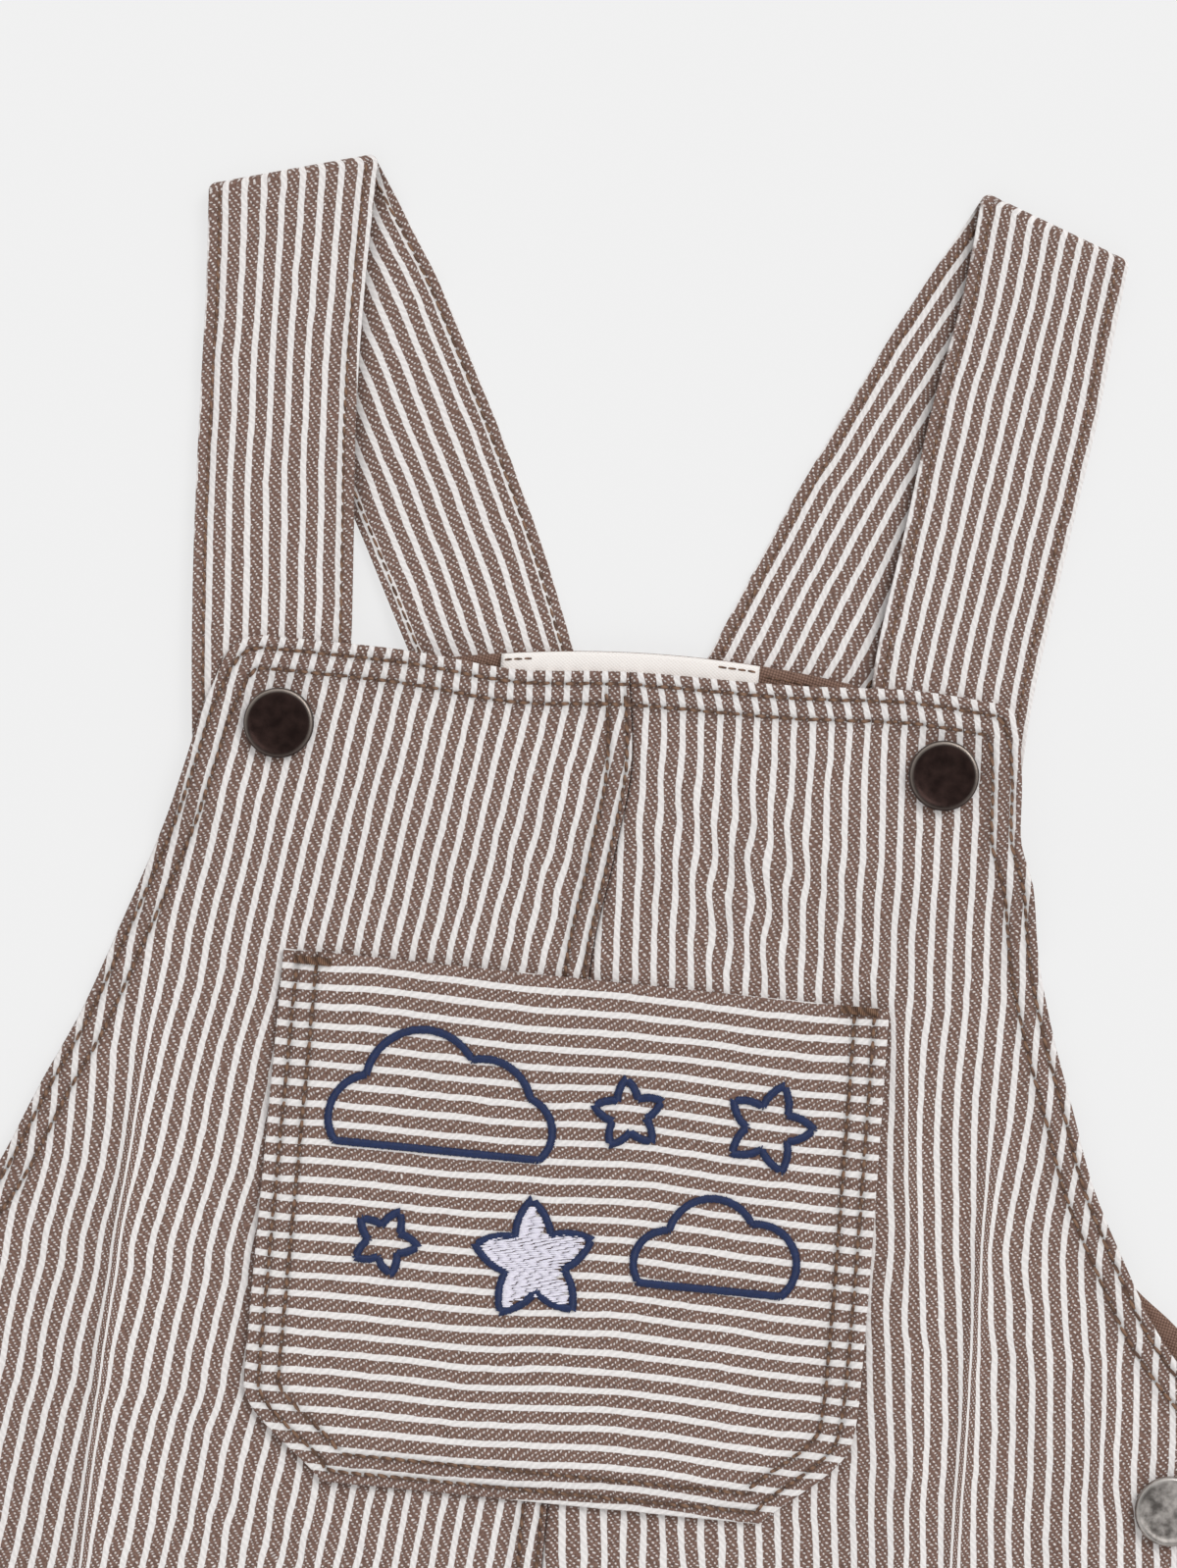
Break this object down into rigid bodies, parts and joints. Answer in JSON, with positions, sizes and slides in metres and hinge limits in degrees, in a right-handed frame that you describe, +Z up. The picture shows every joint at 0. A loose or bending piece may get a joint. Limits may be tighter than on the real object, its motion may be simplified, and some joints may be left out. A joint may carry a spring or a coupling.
{
  "type": "toddler's dungarees laid flat",
  "caption": "Toddler's striped cotton dungarees laid flat, front up, with a bib, patch pocket, folded straps and metal snap caps.",
  "frame": {"origin": "on the surface that the garment lies on, under the middle of its box", "axes": "+X to the right of the front as it lies, +Y from the leg hems to the strap folds, +Z up off the surface"},
  "size_m": [0.304, 0.6752, 0.0081],
  "materials": {
    "striped_cotton": "matt yarn-dyed twill",
    "brown_facing": "matt plain weave",
    "cream_tape": "satin woven tape",
    "dark_bronze": "antique dark plating",
    "worn_pewter": "worn grey plating",
    "brown_thread": "spun sewing thread",
    "navy_thread": "glossy embroidery thread",
    "white_thread": "glossy embroidery thread"
  },
  "bodies": {
    "root": {"front_left": "striped_cotton", "front_right": "striped_cotton", "back_left": "striped_cotton", "back_right": "striped_cotton", "facing_left": "brown_facing", "facing_right": "brown_facing", "label": "cream_tape", "strap_left": "striped_cotton", "strap_right": "striped_cotton", "pocket": "striped_cotton", "snap_bib_left": "dark_bronze", "snap_bib_right": "dark_bronze", "snap_side_left": "worn_pewter", "snap_side_right": "worn_pewter"}
  },
  "joints": []
}
